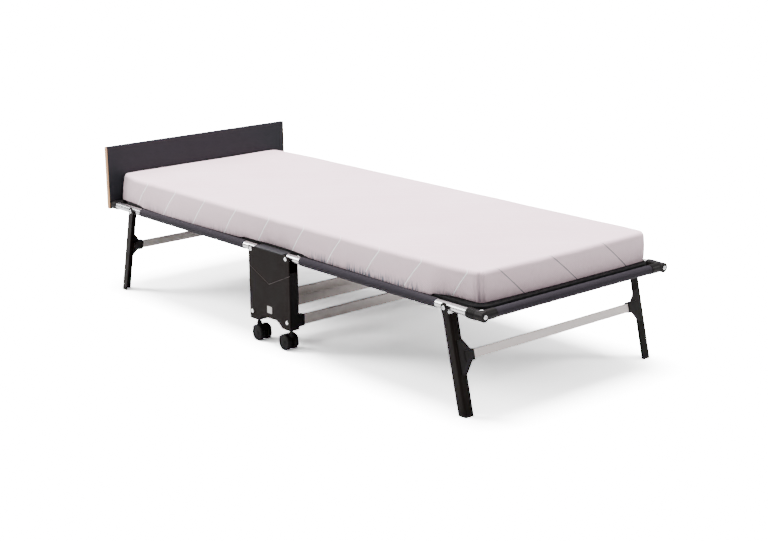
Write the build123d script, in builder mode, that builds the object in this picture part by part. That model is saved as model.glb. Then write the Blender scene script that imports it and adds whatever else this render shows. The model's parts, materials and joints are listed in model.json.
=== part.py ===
from build123d import *
import os
from math import cos, hypot, radians, sin

os.makedirs("parts", exist_ok=True)

# Folding cot: two hinged frame halves on a central wheel unit, fold-away legs, headboard,
# fabric deck and foam mattress. Millimetres. Length along X (head at -X, foot at +X), width
# along Y (right at -Y, left at +Y), Z up. The origin is the centre of the footprint, on the floor.

# Clearances
RUNNING = 0.1  # radial, between a pin and what turns on it
SNUG = 0.05  # radial, between two pieces that are fixed to each other
SLIDE = 0.5  # between faces that move past each other
SWEEP = 1.0  # beside a path that a rail sweeps

# Frame tubes
TUBE_R = 12.7
TUBE_WALL = 1.5
RAIL_Y = 385.0  # side rail axis from the centre line
RAIL_Z = 308.0  # side and end rail axis above the floor
END_REACH = 970.0  # fold centre to the outer face of the corner connectors
INNER_RAIL_R = 8.0
INNER_RAIL_OFFSET = 45.0  # fold pivot out to the cross tube beside the fold

# Fold pivots
PIVOT_REACH = 93.0  # fold centre to each fold pivot
RAIL_TAIL = 10.0  # rail length past its fold pivot

# Bolts
BOLT_R = 4.0
BOLT_HEAD_R = 6.5
BOLT_HEAD_HEIGHT = 3.5
BOLT_HEAD_CHAMFER = 1.2
HEX_SOCKET = (5.0, 2.0)  # across flats and depth, in each bolt's head
NUT_R = 6.0
NUT_HEIGHT = 3.5
SPACER_R = 6.0
CORNER_BOLT_LENGTH = 40.0

# Corner connectors
CONNECTOR_R = 15.5  # around the side rail
CONNECTOR_ARM_R = 15.2  # around the end rail
CONNECTOR_END_WALL = 8.0
CONNECTOR_ARM_LENGTH = 50.0  # side rail axis to the mouth of the end rail socket
SOCKET_LENGTH = {"head": 31.0, "foot": 65.0}  # side rail socket, from its mouth to the end face
RIB_HEIGHT = 1.0
RIB_WIDTH = 3.0
RIB_PITCH = 8.0
RIB_MARGIN = 5.0  # socket mouth to the first rib
PLUG_LENGTH = 34.0  # spigot inside the side rail's end

# Headboard
HEADBOARD_THICKNESS = 16.0
HEADBOARD_OVERHANG = 18.0  # past the side rail axis
HEADBOARD_BOTTOM = 293.0
HEADBOARD_TOP = 522.0
LIPPING = 1.5

# Deck, sleeves and mattress
SLEEVE_WALL = 1.5
SLEEVE_OFFSET = 12.0  # cross tube out to a sleeve's inner end
SLEEVE_TO_LEG = 48.0  # sleeve's outer end to the leg pivot
END_SLEEVE_GAP = 2.0  # end sleeve to the corner connectors
TAB_REACH = 45.0  # rail axis to the inner edge of the sleeve's tab
TAB_THICKNESS = 1.5
DECK_BOTTOM = 312.0
DECK_THICKNESS = 12.0
DECK_SIDE_GAP = 4.0  # deck edge to the side rail tube
DECK_END_GAP = 6.0  # deck edge to the end rail tube
DECK_LAP = 18.0  # fold pivot back to a deck half's inner edge
DECK_NECK_GAP = 4.0  # pods to where a deck half reaches its full width
DECK_MIDDLE_GAP = 15.0  # deck half's inner edge to the deck's middle
DECK_CORNER_R = 45.0
MATTRESS_GAP = 0.3  # above the deck, and between the mattress's three stretches
MATTRESS_THICKNESS = 92.0
MATTRESS_SIDE_INSET = 15.0  # side rail axis to the mattress's side
MATTRESS_LENGTH = 1886.0
MATTRESS_HEAD_GAP = 3.0  # to the headboard
MATTRESS_MIDDLE_HALF = 280.0  # the stretch that squashes as the cot folds
MATTRESS_CORNER_R = 55.0
MATTRESS_EDGE_R = 18.0

# Legs
LEG_INSET = 146.0  # leg pivot to the outer face of the corner connectors
LEG_SPLAY = 13.2  # degrees from vertical
LEG_WIDTH = 32.0  # across the web
LEG_WALL = 2.5
LEG_BEND_R = 6.0  # outside of the channel's outboard bend
LEG_OUTER_OFFSET = 19.0  # side rail axis to the outer face of the outboard flange
WEB_OFFSET = 15.6  # leg pivot to the web's inner face
OUTER_FLANGE_DEPTH = 26.5
INNER_FLANGE_DEPTH = 5.5
EAR_R = 14.0
WEB_TOP_GAP = 1.3  # rail tube down to the top of the web
LEG_END_Z = 8.0  # bottom of the channel above the floor
PLUG_TOP_Z = 28.0
PLUG_LINING = 1.2
LEG_BAR = (12.0, 26.0)  # section of the bar between the legs: across, along the leg
LEG_BAR_ALONG = 147.5  # leg pivot to the bar, along the leg
LEG_BAR_OFFSET = 13.5  # leg axis to the bar's centre
GUSSET_WALL = 3.0
GUSSET_PLATE = 2.5
GUSSET_HEIGHT = 100.0
GUSSET_REACH = 36.0  # inner side of the leg to the socket's mouth
GUSSET_SHOULDER = 9.0  # socket's mouth to where the gusset starts to widen
GUSSET_LAP = 20.0  # how far the gusset laps over the web

# Pods
POD_EDGE = 15.0  # fold pivot to the pod's upright edge
POD_TOP = 318.0
POD_BOTTOM = 71.0
POD_ARCH_Z = 91.0
POD_ARCH_HALF = (40.0, 64.0)  # arch half width at its crown and at its foot
POD_ARCH_R = (30.0, 24.0)
POD_TOP_R = 6.0
POD_BOTTOM_R = 18.0
POD_PLATE = 3.0
POD_WALL = 2.4
POD_RAIL_GAP = (1.0, 4.3)  # rail tube to the inner wall and to the outer plate
SLOT_BOTTOM = 262.0
COVER_THICKNESS = 2.6
GROOVE_Z = (206.0, 253.0)  # groove height at the middle and at the plate's edges
GROOVE = (1.6, 0.8)  # groove width and depth
LABEL = (25.0, 23.0, 0.8)
LABEL_Z = 120.0

# Cross bars between the pods
CROSSBAR_THICKNESS = 12.0
CROSSBAR_WALL = 1.5
LOWER_BAR_HEIGHT = 33.0
UPPER_BAR_HEIGHT = 27.0
BAR_GAP = 1.0
CROSSBAR_Z = 97.0  # lower bar centre and lower bolt height
BAR_SOCKET_BASE = 12.0
BAR_SOCKET_DEPTH = 15.0
BAR_SOCKET_WALL = 3.0
BOLT_BITE = 10.0  # lower bolt length inside the socket's base

# Casters
CASTER_INSET = 7.0  # fold pivot back to the swivel stem
CASTER_TRAIL = 14.0
WHEEL_R = 25.0
WHEEL_WIDTH = 16.0
WHEEL_EDGE_R = 3.0
WHEEL_RECESS = (7.0, 18.5, 1.2)  # inner radius, outer radius and depth
FORK_WEB = 12.0
FORK_HUB_R = 17.0
AXLE_R = 3.0
HOOD_GAP = 1.2
HOOD_WALL = 2.0
HOOD_ANGLE = 60.0  # each side of vertical
HOOD_HALF = 21.0
STEM_R = 5.0
STEM_TOP = 88.0
BOSS_R = 8.0
BOSS_HEIGHT = 5.0  # above the hood
BUSH_R = 8.0
BUSH_FLANGE = (10.0, 2.0)
BUSH_TOP = 91.0

SIDES = {"left": 1, "right": -1}
ENDS = {"head": -1, "foot": 1}

# Derived places
FOLD_X = (HEADBOARD_THICKNESS - BOLT_HEAD_HEIGHT) / 2
POD_HALF = PIVOT_REACH + POD_EDGE
INNER_RAIL_REACH = PIVOT_REACH + INNER_RAIL_OFFSET
SLEEVE_START = INNER_RAIL_REACH + SLEEVE_OFFSET
DECK_START = PIVOT_REACH - DECK_LAP
DECK_MIDDLE_HALF = DECK_START - DECK_MIDDLE_GAP
CASTER_REACH = PIVOT_REACH - CASTER_INSET
HEADBOARD_WIDTH = 2 * (RAIL_Y + HEADBOARD_OVERHANG)
MATTRESS_WIDTH = 2 * (RAIL_Y - MATTRESS_SIDE_INSET)
CONNECTOR_INNER_Y = RAIL_Y - CONNECTOR_ARM_LENGTH
LEG_OUTER_Y = RAIL_Y + LEG_OUTER_OFFSET
LEG_REACH = END_REACH - LEG_INSET
SLEEVE_END = LEG_REACH - SLEEVE_TO_LEG
END_SLEEVE_HALF = CONNECTOR_INNER_Y - END_SLEEVE_GAP
END_RAIL_REACH = END_REACH - CONNECTOR_R
TUBE_BORE_R = TUBE_R - TUBE_WALL
SLEEVE_R = TUBE_R + SNUG + SLEEVE_WALL
DECK_TOP = DECK_BOTTOM + DECK_THICKNESS
DECK_HALF_WIDTH = RAIL_Y - TUBE_R - DECK_SIDE_GAP
INNER_RAIL_Z = DECK_BOTTOM - INNER_RAIL_R - SLIDE
DECK_REACH = END_RAIL_REACH - TUBE_R - DECK_END_GAP
MATTRESS_BOTTOM = DECK_TOP + MATTRESS_GAP
MATTRESS_HEAD_REACH = END_REACH - MATTRESS_HEAD_GAP
MATTRESS_REACH = {"head": MATTRESS_HEAD_REACH, "foot": MATTRESS_LENGTH - MATTRESS_HEAD_REACH}
POD_INNER_Y = RAIL_Y - TUBE_R - POD_RAIL_GAP[0]  # rail side of the inner wall
POD_BACK_Y = POD_INNER_Y - POD_WALL
DECK_NECK_HALF = POD_BACK_Y - NUT_HEIGHT - SLIDE  # beside the fold pivots' nuts
POD_PLATE_Y = RAIL_Y + TUBE_R + POD_RAIL_GAP[1]  # rail side of the outer plate
POD_FACE_Y = POD_PLATE_Y + POD_PLATE
COVER_HALF = PIVOT_REACH - hypot(RAIL_TAIL, TUBE_R) - SWEEP
UPPER_BAR_Z = CROSSBAR_Z + (LOWER_BAR_HEIGHT + UPPER_BAR_HEIGHT) / 2 + BAR_GAP
BAR_HALF_LENGTH = POD_BACK_Y - BAR_SOCKET_BASE
WHEEL_INNER_Y = FORK_WEB / 2 + SLIDE
AXLE_HALF = WHEEL_INNER_Y + WHEEL_WIDTH
HOOD_R = WHEEL_R + HOOD_GAP
LEG_INNER_Y = LEG_OUTER_Y - LEG_WIDTH
LEG_SOCKET_Y = LEG_INNER_Y - SWEEP  # clear of the sleeve when the leg is folded
LEG_BAR_HALF = LEG_SOCKET_Y - SWEEP
WEB_OUTER = WEB_OFFSET + LEG_WALL
FLANGE_EDGE = WEB_OFFSET - OUTER_FLANGE_DEPTH
PLUG_OUTER_Y = LEG_OUTER_Y - LEG_WALL - SNUG  # plug's lining inside the outboard flange
PLUG_INNER_Y = LEG_INNER_Y + LEG_WALL + SNUG
PLUG_WEB = WEB_OFFSET - SNUG  # and inside the web
# Walls of the channel: low and high y, then the offset where each starts
CHANNEL_WALLS = (
    (LEG_OUTER_Y - LEG_WALL, LEG_OUTER_Y, FLANGE_EDGE),
    (LEG_INNER_Y, LEG_OUTER_Y, WEB_OFFSET),
    (LEG_INNER_Y, LEG_INNER_Y + LEG_WALL, WEB_OFFSET - INNER_FLANGE_DEPTH),
)
BEND_START = WEB_OUTER - LEG_BEND_R
# Outboard bend of the channel: offset, y and radius, outside then inside
LEG_BEND = (
    (WEB_OUTER, LEG_OUTER_Y, LEG_BEND_R),
    (WEB_OFFSET, LEG_OUTER_Y - LEG_WALL, LEG_BEND_R - LEG_WALL),
)
WEB_TOP_Z = RAIL_Z - TUBE_R - WEB_TOP_GAP
SPLAY = radians(LEG_SPLAY)


def along(end, reach):
    """X of a point at a distance from the fold centre, towards the head (-1) or foot (1)."""
    return FOLD_X + end * reach


def leg_plane(end, y):
    """Plane at a leg pivot: local x points out from the cot, local y down the leg."""
    return Plane(
        origin=(along(end, LEG_REACH), y, RAIL_Z),
        x_dir=(end * cos(SPLAY), 0, sin(SPLAY)),
        z_dir=(0, end, 0),
    )


def level(offset, z):
    """Point in a leg plane at an offset from the leg's axis and a height above the floor."""
    return (offset, (RAIL_Z + offset * sin(SPLAY) - z) / cos(SPLAY))


def leg_slab(inner, outer, top, bottom):
    """Corners, in a leg plane, of a piece of leg that is cut off level at both ends."""
    return [level(inner, top), level(outer, top), level(outer, bottom), level(inner, bottom)]


def pod_outline():
    """Side view of a pod: a tall plate with an arch between two rounded feet."""
    crown, foot = POD_ARCH_HALF
    with BuildSketch() as outline:
        with BuildLine():
            Polyline(
                (FOLD_X - POD_HALF, POD_TOP),
                (FOLD_X + POD_HALF, POD_TOP),
                (FOLD_X + POD_HALF, POD_BOTTOM),
                (FOLD_X + foot, POD_BOTTOM),
                (FOLD_X + crown, POD_ARCH_Z),
                (FOLD_X - crown, POD_ARCH_Z),
                (FOLD_X - foot, POD_BOTTOM),
                (FOLD_X - POD_HALF, POD_BOTTOM),
                close=True,
            )
        make_face()
        bottom, arch, top = outline.vertices().group_by(Axis.Y)
        feet = bottom.sort_by(Axis.X)
        fillet(arch, POD_ARCH_R[0])
        fillet(feet[1:3], POD_ARCH_R[1])
        fillet([feet[0], feet[3]], POD_BOTTOM_R)
        fillet(top, POD_TOP_R)
    return outline.sketch


# ---------------------------------------------------------------- wheel unit

for side_name, side in SIDES.items():
    with BuildPart() as pod_plate:
        with BuildSketch(Plane.XZ.offset(-side * POD_PLATE_Y)):
            add(pod_outline())
        extrude(amount=-side * POD_PLATE)
        face = pod_plate.faces().sort_by(Axis.Y)[-1 if side > 0 else 0]
        chamfer(face.outer_wire().edges(), GROOVE[1])
        with BuildSketch(Plane.XZ.offset(-side * POD_FACE_Y)):
            with BuildLine():
                Polyline(
                    (FOLD_X - POD_HALF, GROOVE_Z[1]),
                    (FOLD_X, GROOVE_Z[0]),
                    (FOLD_X + POD_HALF, GROOVE_Z[1]),
                )
            trace(line_width=GROOVE[0])
        extrude(amount=side * GROOVE[1], mode=Mode.SUBTRACT)
        for end in ENDS.values():
            for z in (RAIL_Z, CROSSBAR_Z):
                with Locations(Plane((along(end, PIVOT_REACH), side * POD_FACE_Y, z), z_dir=(0, side, 0))):
                    Hole(BOLT_R + SNUG)
    pod_plate.part.label = f"pod_plate_{side_name}"
    export_step(pod_plate.part, f"parts/{pod_plate.part.label}.step")

    with BuildPart() as pod_housing:
        with BuildSketch(Plane.XZ.offset(-side * POD_BACK_Y)):
            add(pod_outline())
        extrude(amount=-side * (POD_PLATE_Y - POD_BACK_Y))
        with BuildSketch(Plane.XZ.offset(-side * POD_INNER_Y)):
            add(pod_outline())
            offset(amount=-POD_WALL, mode=Mode.REPLACE)
        extrude(amount=-side * (POD_PLATE_Y - POD_INNER_Y), mode=Mode.SUBTRACT)
        # The rails swing up through slots at both ends of the top
        with BuildSketch(Plane.XZ.offset(-side * POD_INNER_Y)):
            with Locations(
                *[(along(end, (COVER_HALF + POD_HALF) / 2), (SLOT_BOTTOM + POD_TOP) / 2) for end in (-1, 1)]
            ):
                Rectangle(POD_HALF - COVER_HALF, POD_TOP - SLOT_BOTTOM)
        extrude(amount=-side * (POD_PLATE_Y - POD_INNER_Y), mode=Mode.SUBTRACT)
        for end in ENDS.values():
            for z in (RAIL_Z, CROSSBAR_Z):
                with Locations(Plane((along(end, PIVOT_REACH), side * POD_PLATE_Y, z), z_dir=(0, side, 0))):
                    Hole(BOLT_R + SNUG)
            with Locations(Plane((along(end, CASTER_REACH), side * RAIL_Y, POD_BOTTOM), z_dir=(0, 0, -1))):
                Hole(BUSH_R + SNUG, depth=2 * POD_WALL)
    pod_housing.part.label = f"pod_housing_{side_name}"
    export_step(pod_housing.part, f"parts/{pod_housing.part.label}.step")

with BuildPart() as pod_top_covers:
    for side in SIDES.values():
        with BuildSketch(Plane.XY.offset(POD_TOP)):
            with Locations((FOLD_X, side * (POD_BACK_Y + POD_FACE_Y) / 2)):
                RectangleRounded(2 * COVER_HALF, POD_FACE_Y - POD_BACK_Y, COVER_THICKNESS)
        extrude(amount=COVER_THICKNESS)
    chamfer(pod_top_covers.edges().group_by(Axis.Z)[-1], COVER_THICKNESS / 3)
pod_top_covers.part.label = "pod_top_covers"
export_step(pod_top_covers.part, "parts/pod_top_covers.step")

with BuildPart() as fold_pivot_bolts:
    for side in SIDES.values():
        for end in ENDS.values():
            axis_point = (along(end, PIVOT_REACH), RAIL_Z)
            outward = (0, side, 0)
            with BuildSketch(Plane((axis_point[0], side * POD_FACE_Y, axis_point[1]), z_dir=outward)):
                Circle(BOLT_HEAD_R)
            extrude(amount=BOLT_HEAD_HEIGHT)
            head_face = fold_pivot_bolts.faces().filter_by(Axis.Y).sort_by(Axis.Y)[-1 if side > 0 else 0]
            chamfer(head_face.edges(), BOLT_HEAD_CHAMFER)
            with BuildSketch(Plane((axis_point[0], side * POD_FACE_Y, axis_point[1]), z_dir=outward)):
                Circle(BOLT_R)
            extrude(amount=-(POD_FACE_Y - POD_BACK_Y))
            spacer_y = RAIL_Y + TUBE_R + SLIDE
            with BuildSketch(Plane((axis_point[0], side * spacer_y, axis_point[1]), z_dir=outward)):
                Circle(SPACER_R)
            extrude(amount=POD_PLATE_Y - spacer_y)
            with BuildSketch(Plane((axis_point[0], side * POD_BACK_Y, axis_point[1]), z_dir=outward)):
                Circle(NUT_R)
            extrude(amount=-NUT_HEIGHT)
        heads = Plane((FOLD_X, side * (POD_FACE_Y + BOLT_HEAD_HEIGHT), RAIL_Z), z_dir=(0, side, 0))
        with BuildSketch(heads):
            with Locations((-PIVOT_REACH, 0), (PIVOT_REACH, 0)):
                RegularPolygon(HEX_SOCKET[0] / 2, 6, major_radius=False)
        extrude(amount=-HEX_SOCKET[1], mode=Mode.SUBTRACT)
fold_pivot_bolts.part.label = "fold_pivot_bolts"
export_step(fold_pivot_bolts.part, "parts/fold_pivot_bolts.step")

with BuildPart() as pod_lower_bolts:
    for side in SIDES.values():
        for end in ENDS.values():
            seat = Plane((along(end, PIVOT_REACH), side * POD_FACE_Y, CROSSBAR_Z), z_dir=(0, side, 0))
            with BuildSketch(seat):
                Circle(BOLT_HEAD_R)
            extrude(amount=BOLT_HEAD_HEIGHT)
            head_face = pod_lower_bolts.faces().filter_by(Axis.Y).sort_by(Axis.Y)[-1 if side > 0 else 0]
            chamfer(head_face.edges(), BOLT_HEAD_CHAMFER)
            with BuildSketch(seat):
                Circle(BOLT_R)
            extrude(amount=-(POD_FACE_Y - POD_BACK_Y + BOLT_BITE))
        heads = Plane((FOLD_X, side * (POD_FACE_Y + BOLT_HEAD_HEIGHT), CROSSBAR_Z), z_dir=(0, side, 0))
        with BuildSketch(heads):
            with Locations((-PIVOT_REACH, 0), (PIVOT_REACH, 0)):
                RegularPolygon(HEX_SOCKET[0] / 2, 6, major_radius=False)
        extrude(amount=-HEX_SOCKET[1], mode=Mode.SUBTRACT)
pod_lower_bolts.part.label = "pod_lower_bolts"
export_step(pod_lower_bolts.part, "parts/pod_lower_bolts.step")

CROSSBARS = {
    "crossbar_foot_side": (1, CROSSBAR_Z, LOWER_BAR_HEIGHT),
    "crossbar_head_lower": (-1, CROSSBAR_Z, LOWER_BAR_HEIGHT),
    "crossbar_head_upper": (-1, UPPER_BAR_Z, UPPER_BAR_HEIGHT),
}
for bar_name, (end, bar_z, bar_height) in CROSSBARS.items():
    with BuildPart() as crossbar:
        with BuildSketch(Plane.XZ):
            with Locations((along(end, PIVOT_REACH), bar_z)):
                Rectangle(CROSSBAR_THICKNESS, bar_height)
                Rectangle(
                    CROSSBAR_THICKNESS - 2 * CROSSBAR_WALL,
                    bar_height - 2 * CROSSBAR_WALL,
                    mode=Mode.SUBTRACT,
                )
        extrude(amount=BAR_HALF_LENGTH, both=True)
    crossbar.part.label = bar_name
    export_step(crossbar.part, f"parts/{bar_name}.step")

BAR_LOW = CROSSBAR_Z - LOWER_BAR_HEIGHT / 2
BAR_STACK_TOP = {"foot": CROSSBAR_Z + LOWER_BAR_HEIGHT / 2, "head": UPPER_BAR_Z + UPPER_BAR_HEIGHT / 2}
for end_name, end in ENDS.items():
    stack_height = BAR_STACK_TOP[end_name] - BAR_LOW
    stack_middle = (BAR_STACK_TOP[end_name] + BAR_LOW) / 2
    socket_x = along(end, PIVOT_REACH)
    with BuildPart() as crossbar_sockets:
        for side in SIDES.values():
            with BuildSketch(Plane.XZ.offset(-side * POD_BACK_Y)):
                with Locations((socket_x, stack_middle)):
                    Rectangle(CROSSBAR_THICKNESS + 2 * BAR_SOCKET_WALL, stack_height + 2 * BAR_SOCKET_WALL)
            extrude(amount=side * (BAR_SOCKET_BASE + BAR_SOCKET_DEPTH))
            with BuildSketch(Plane.XZ.offset(-side * BAR_HALF_LENGTH)):
                with Locations((socket_x, stack_middle)):
                    Rectangle(CROSSBAR_THICKNESS + 2 * SNUG, stack_height + 2 * SNUG)
            extrude(amount=side * BAR_SOCKET_DEPTH, mode=Mode.SUBTRACT)
            with Locations(Plane((socket_x, side * POD_BACK_Y, CROSSBAR_Z), z_dir=(0, side, 0))):
                Hole(BOLT_R + SNUG, depth=BOLT_BITE)
    crossbar_sockets.part.label = f"crossbar_sockets_{end_name}"
    export_step(crossbar_sockets.part, f"parts/{crossbar_sockets.part.label}.step")

with BuildPart() as blank_label_plates:
    for side in SIDES.values():
        with BuildSketch(Plane.XZ.offset(-side * POD_FACE_Y)):
            with Locations((FOLD_X, LABEL_Z)):
                RectangleRounded(LABEL[0], LABEL[1], LABEL[0] / 10)
        extrude(amount=-side * LABEL[2])
blank_label_plates.part.label = "blank_label_plates"
export_step(blank_label_plates.part, "parts/blank_label_plates.step")

with BuildPart() as caster_stem_bushes:
    for side in SIDES.values():
        for end in ENDS.values():
            with BuildSketch(Plane((along(end, CASTER_REACH), side * RAIL_Y, POD_BOTTOM - BUSH_FLANGE[1]))):
                Circle(BUSH_FLANGE[0])
                Circle(STEM_R + RUNNING, mode=Mode.SUBTRACT)
            extrude(amount=BUSH_FLANGE[1])
            with BuildSketch(Plane((along(end, CASTER_REACH), side * RAIL_Y, POD_BOTTOM))):
                Circle(BUSH_R)
                Circle(STEM_R + RUNNING, mode=Mode.SUBTRACT)
            extrude(amount=BUSH_TOP - POD_BOTTOM)
caster_stem_bushes.part.label = "caster_stem_bushes"
export_step(caster_stem_bushes.part, "parts/caster_stem_bushes.step")

# ---------------------------------------------------------------- casters

for side_name, side in SIDES.items():
    for end_name, end in ENDS.items():
        stem_x = along(end, CASTER_REACH)
        axle_x = along(end, CASTER_REACH - CASTER_TRAIL)
        caster_y = side * RAIL_Y
        hood_top = WHEEL_R + HOOD_R + HOOD_WALL

        with BuildPart() as caster_body:
            with BuildSketch(Plane.XZ.offset(-caster_y)):
                with Locations((axle_x, WHEEL_R)):
                    Circle(HOOD_R + HOOD_WALL)
            extrude(amount=HOOD_HALF, both=True)
            # Keep the part of the disc that covers the wheels from above
            hood_drop = HOOD_R * cos(radians(HOOD_ANGLE))
            split(bisect_by=Plane.XY.offset(WHEEL_R + hood_drop), keep=Keep.TOP)
            with BuildSketch(Plane((stem_x, caster_y, WHEEL_R + hood_drop))):
                Circle(BOSS_R)
            extrude(amount=HOOD_R - hood_drop + HOOD_WALL + BOSS_HEIGHT)
            with BuildSketch(Plane.XZ.offset(-caster_y)):
                with Locations((axle_x, WHEEL_R)):
                    Circle(FORK_HUB_R)
            extrude(amount=FORK_WEB / 2, both=True)
            for wheel_side in (-1, 1):
                with BuildSketch(Plane.XZ.offset(-caster_y - wheel_side * FORK_WEB / 2)):
                    with Locations((axle_x, WHEEL_R)):
                        Circle(HOOD_R)
                extrude(amount=-wheel_side * HOOD_HALF, mode=Mode.SUBTRACT)
            with Locations(Plane((axle_x, caster_y, WHEEL_R), z_dir=(0, 1, 0))):
                Hole(AXLE_R + RUNNING)
            with BuildSketch(Plane((stem_x, caster_y, hood_top))):
                Circle(STEM_R)
            extrude(amount=STEM_TOP - hood_top)
        caster_body.part.label = f"caster_body_{side_name}_{end_name}"
        export_step(caster_body.part, f"parts/{caster_body.part.label}.step")

        with BuildPart() as caster_wheels:
            for wheel_side in (-1, 1):
                with BuildSketch(Plane.XZ.offset(-caster_y - wheel_side * WHEEL_INNER_Y)):
                    with Locations((axle_x, WHEEL_R)):
                        Circle(WHEEL_R)
                        Circle(AXLE_R + SNUG, mode=Mode.SUBTRACT)
                extrude(amount=-wheel_side * WHEEL_WIDTH)
            rounds = caster_wheels.edges().filter_by(GeomType.CIRCLE)
            fillet(rounds.filter_by(lambda edge: edge.radius > WHEEL_R - SNUG), WHEEL_EDGE_R)
            for wheel_side in (-1, 1):
                with BuildSketch(Plane.XZ.offset(-caster_y - wheel_side * AXLE_HALF)):
                    with Locations((axle_x, WHEEL_R)):
                        Circle(WHEEL_RECESS[1])
                        Circle(WHEEL_RECESS[0], mode=Mode.SUBTRACT)
                extrude(amount=wheel_side * WHEEL_RECESS[2], mode=Mode.SUBTRACT)
            with BuildSketch(Plane.XZ.offset(-caster_y)):
                with Locations((axle_x, WHEEL_R)):
                    Circle(AXLE_R)
            extrude(amount=AXLE_HALF, both=True)
        caster_wheels.part.label = f"caster_wheels_{side_name}_{end_name}"
        export_step(caster_wheels.part, f"parts/{caster_wheels.part.label}.step")

# ---------------------------------------------------------------- frame halves

for end_name, end in ENDS.items():
    outer_group = -1 if end > 0 else 0
    for side_name, side in SIDES.items():
        rail_start = PIVOT_REACH - RAIL_TAIL
        rail_end = END_REACH - CONNECTOR_END_WALL
        with BuildPart() as side_rail:
            with BuildSketch(Plane((along(end, rail_start), side * RAIL_Y, RAIL_Z), z_dir=(end, 0, 0))):
                Circle(TUBE_R)
                Circle(TUBE_BORE_R, mode=Mode.SUBTRACT)
            extrude(amount=rail_end - rail_start)
            for reach in (PIVOT_REACH, LEG_REACH):
                with Locations(Plane((along(end, reach), side * RAIL_Y, RAIL_Z), z_dir=(0, 1, 0))):
                    Hole(BOLT_R + RUNNING)
        side_rail.part.label = f"side_rail_{side_name}_{end_name}"
        export_step(side_rail.part, f"parts/{side_rail.part.label}.step")

        mouth = END_REACH - SOCKET_LENGTH[end_name]
        end_face = Plane((along(end, END_REACH), side * RAIL_Y, RAIL_Z), z_dir=(end, 0, 0))
        end_rail_mouth = Plane(
            (along(end, END_RAIL_REACH), side * CONNECTOR_INNER_Y, RAIL_Z), z_dir=(0, side, 0)
        )
        ribs = round((SOCKET_LENGTH[end_name] - 2 * CONNECTOR_R - RIB_WIDTH) / RIB_PITCH)
        with BuildPart() as corner_connector:
            with BuildSketch(end_face):
                Circle(CONNECTOR_R)
            extrude(amount=-SOCKET_LENGTH[end_name])
            with BuildSketch(end_rail_mouth):
                Circle(CONNECTOR_ARM_R)
            extrude(amount=RAIL_Y - CONNECTOR_INNER_Y)
            for rib in range(ribs):
                rib_x = along(end, mouth + RIB_MARGIN + rib * RIB_PITCH)
                with BuildSketch(Plane((rib_x, side * RAIL_Y, RAIL_Z), z_dir=(end, 0, 0))):
                    Circle(CONNECTOR_R + RIB_HEIGHT)
                extrude(amount=RIB_WIDTH)
            with BuildSketch(end_rail_mouth):
                Circle(TUBE_R + SNUG)
            extrude(amount=RAIL_Y - CONNECTOR_INNER_Y, mode=Mode.SUBTRACT)
            with BuildSketch(end_face.offset(-CONNECTOR_END_WALL)):
                Circle(TUBE_R + RUNNING)
            extrude(amount=-SOCKET_LENGTH[end_name], mode=Mode.SUBTRACT)
            with BuildSketch(end_face.offset(-CONNECTOR_END_WALL)):
                Circle(TUBE_BORE_R - SNUG)
            extrude(amount=-PLUG_LENGTH)
            with Locations(end_face):
                Hole(BOLT_R + SNUG, depth=CONNECTOR_END_WALL + PLUG_LENGTH)
        corner_connector.part.label = f"corner_connector_{side_name}_{end_name}"
        export_step(corner_connector.part, f"parts/{corner_connector.part.label}.step")

    # At the head the bolts start in the back of the headboard, at the foot on the connectors
    bolt_seat = END_REACH + (HEADBOARD_THICKNESS - BOLT_HEAD_HEIGHT if end < 0 else 0)
    with BuildPart() as corner_bolts:
        for side in SIDES.values():
            seat = Plane((along(end, bolt_seat), side * RAIL_Y, RAIL_Z), z_dir=(end, 0, 0))
            with BuildSketch(seat):
                Circle(BOLT_HEAD_R)
            extrude(amount=BOLT_HEAD_HEIGHT)
            with BuildSketch(seat):
                Circle(BOLT_R)
            extrude(amount=-CORNER_BOLT_LENGTH)
        if end > 0:
            head_faces = corner_bolts.faces().group_by(Axis.X)[-1]
            chamfer(head_faces.edges(), BOLT_HEAD_CHAMFER)
        heads_x = along(end, bolt_seat + BOLT_HEAD_HEIGHT)
        heads = Plane((heads_x, 0, RAIL_Z), x_dir=(0, 1, 0), z_dir=(end, 0, 0))
        with BuildSketch(heads):
            with Locations((-RAIL_Y, 0), (RAIL_Y, 0)):
                RegularPolygon(HEX_SOCKET[0] / 2, 6, major_radius=False)
        extrude(amount=-HEX_SOCKET[1], mode=Mode.SUBTRACT)
    corner_bolts.part.label = f"corner_bolts_{end_name}"
    export_step(corner_bolts.part, f"parts/{corner_bolts.part.label}.step")

    with BuildPart() as end_rail:
        with BuildSketch(Plane((along(end, END_RAIL_REACH), 0, RAIL_Z), z_dir=(0, 1, 0))):
            Circle(TUBE_R)
            Circle(TUBE_BORE_R, mode=Mode.SUBTRACT)
        extrude(amount=RAIL_Y, both=True)
        # Coped around the side rails
        for side in SIDES.values():
            with BuildSketch(Plane((along(end, END_RAIL_REACH), side * RAIL_Y, RAIL_Z), z_dir=(1, 0, 0))):
                Circle(TUBE_R + SNUG)
            extrude(amount=2 * TUBE_R, both=True, mode=Mode.SUBTRACT)
    end_rail.part.label = f"end_rail_{end_name}"
    export_step(end_rail.part, f"parts/{end_rail.part.label}.step")

    with BuildPart() as inner_rail:
        with BuildSketch(Plane((along(end, INNER_RAIL_REACH), 0, INNER_RAIL_Z), z_dir=(0, 1, 0))):
            Circle(INNER_RAIL_R)
            Circle(INNER_RAIL_R - TUBE_WALL, mode=Mode.SUBTRACT)
        extrude(amount=RAIL_Y, both=True)
        for side in SIDES.values():
            with BuildSketch(Plane((along(end, INNER_RAIL_REACH), side * RAIL_Y, RAIL_Z), z_dir=(1, 0, 0))):
                Circle(TUBE_R + SNUG)
            extrude(amount=2 * INNER_RAIL_R, both=True, mode=Mode.SUBTRACT)
    inner_rail.part.label = f"inner_rail_{end_name}"
    export_step(inner_rail.part, f"parts/{inner_rail.part.label}.step")

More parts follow.
